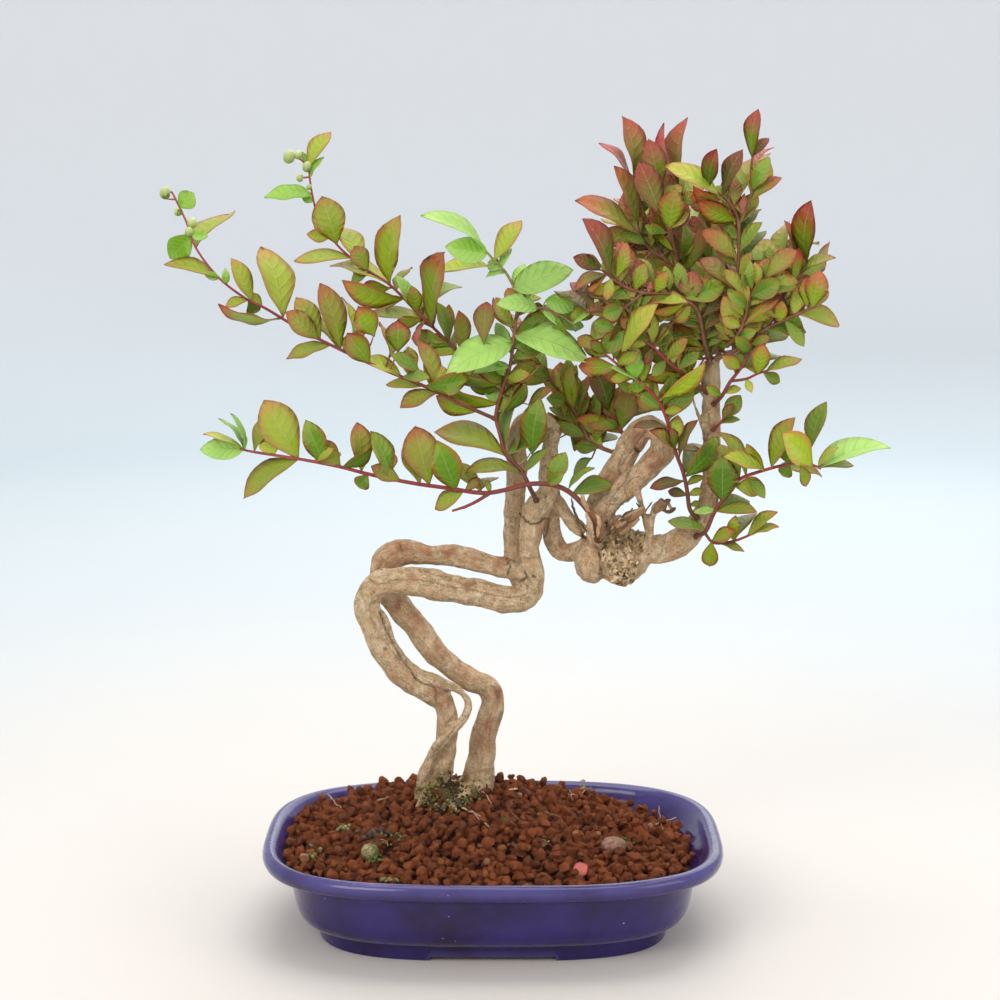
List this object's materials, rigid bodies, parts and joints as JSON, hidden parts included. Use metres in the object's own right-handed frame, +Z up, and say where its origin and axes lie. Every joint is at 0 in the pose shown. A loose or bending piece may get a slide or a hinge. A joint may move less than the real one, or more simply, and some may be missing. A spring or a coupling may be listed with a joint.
{
  "type": "crepe myrtle bonsai",
  "caption": "Crepe myrtle bonsai with a plaited, bent trunk and young green and red leaves, rooted in clay grains in a blue glazed oval pot with low feet.",
  "frame": {"origin": "middle of the pot's footprint at the height its feet stand on, 2 mm under the flat underside of its floor", "axes": "+Z up; +X to the right and -Y towards the viewer when the tree's front is seen"},
  "size_m": [0.3546, 0.1754, 0.4125],
  "materials": {
    "glaze": "gloss",
    "clay_grains": "matte",
    "pale_stone": "matte",
    "mossy_stone": "matte",
    "bark": "matte",
    "green_leaf": "satin",
    "olive_leaf": "satin",
    "red_leaf": "satin"
  },
  "bodies": {
    "root": {"pot": "glaze", "soil": "clay_grains", "pebble_pale": "pale_stone", "pebble_mossy": "mossy_stone", "trunk": "bark", "stem_middle": "green_leaf", "stem_left_lower": "olive_leaf", "stem_left_upper": "olive_leaf", "stem_low_left": "olive_leaf", "stem_back_centre": "green_leaf", "stem_back_small": "red_leaf", "stem_right_red": "red_leaf", "stem_right_lower": "green_leaf", "stem_trunk_side": "green_leaf", "crown_right": "red_leaf", "crown_left": "red_leaf", "crown_left_lower": "red_leaf", "crown_front": "green_leaf", "crown_far_right": "red_leaf", "crown_right_lower": "olive_leaf", "crown_middle": "red_leaf", "crown_back_left": "olive_leaf", "crown_back": "olive_leaf", "crown_back_right": "olive_leaf"}
  },
  "joints": []
}
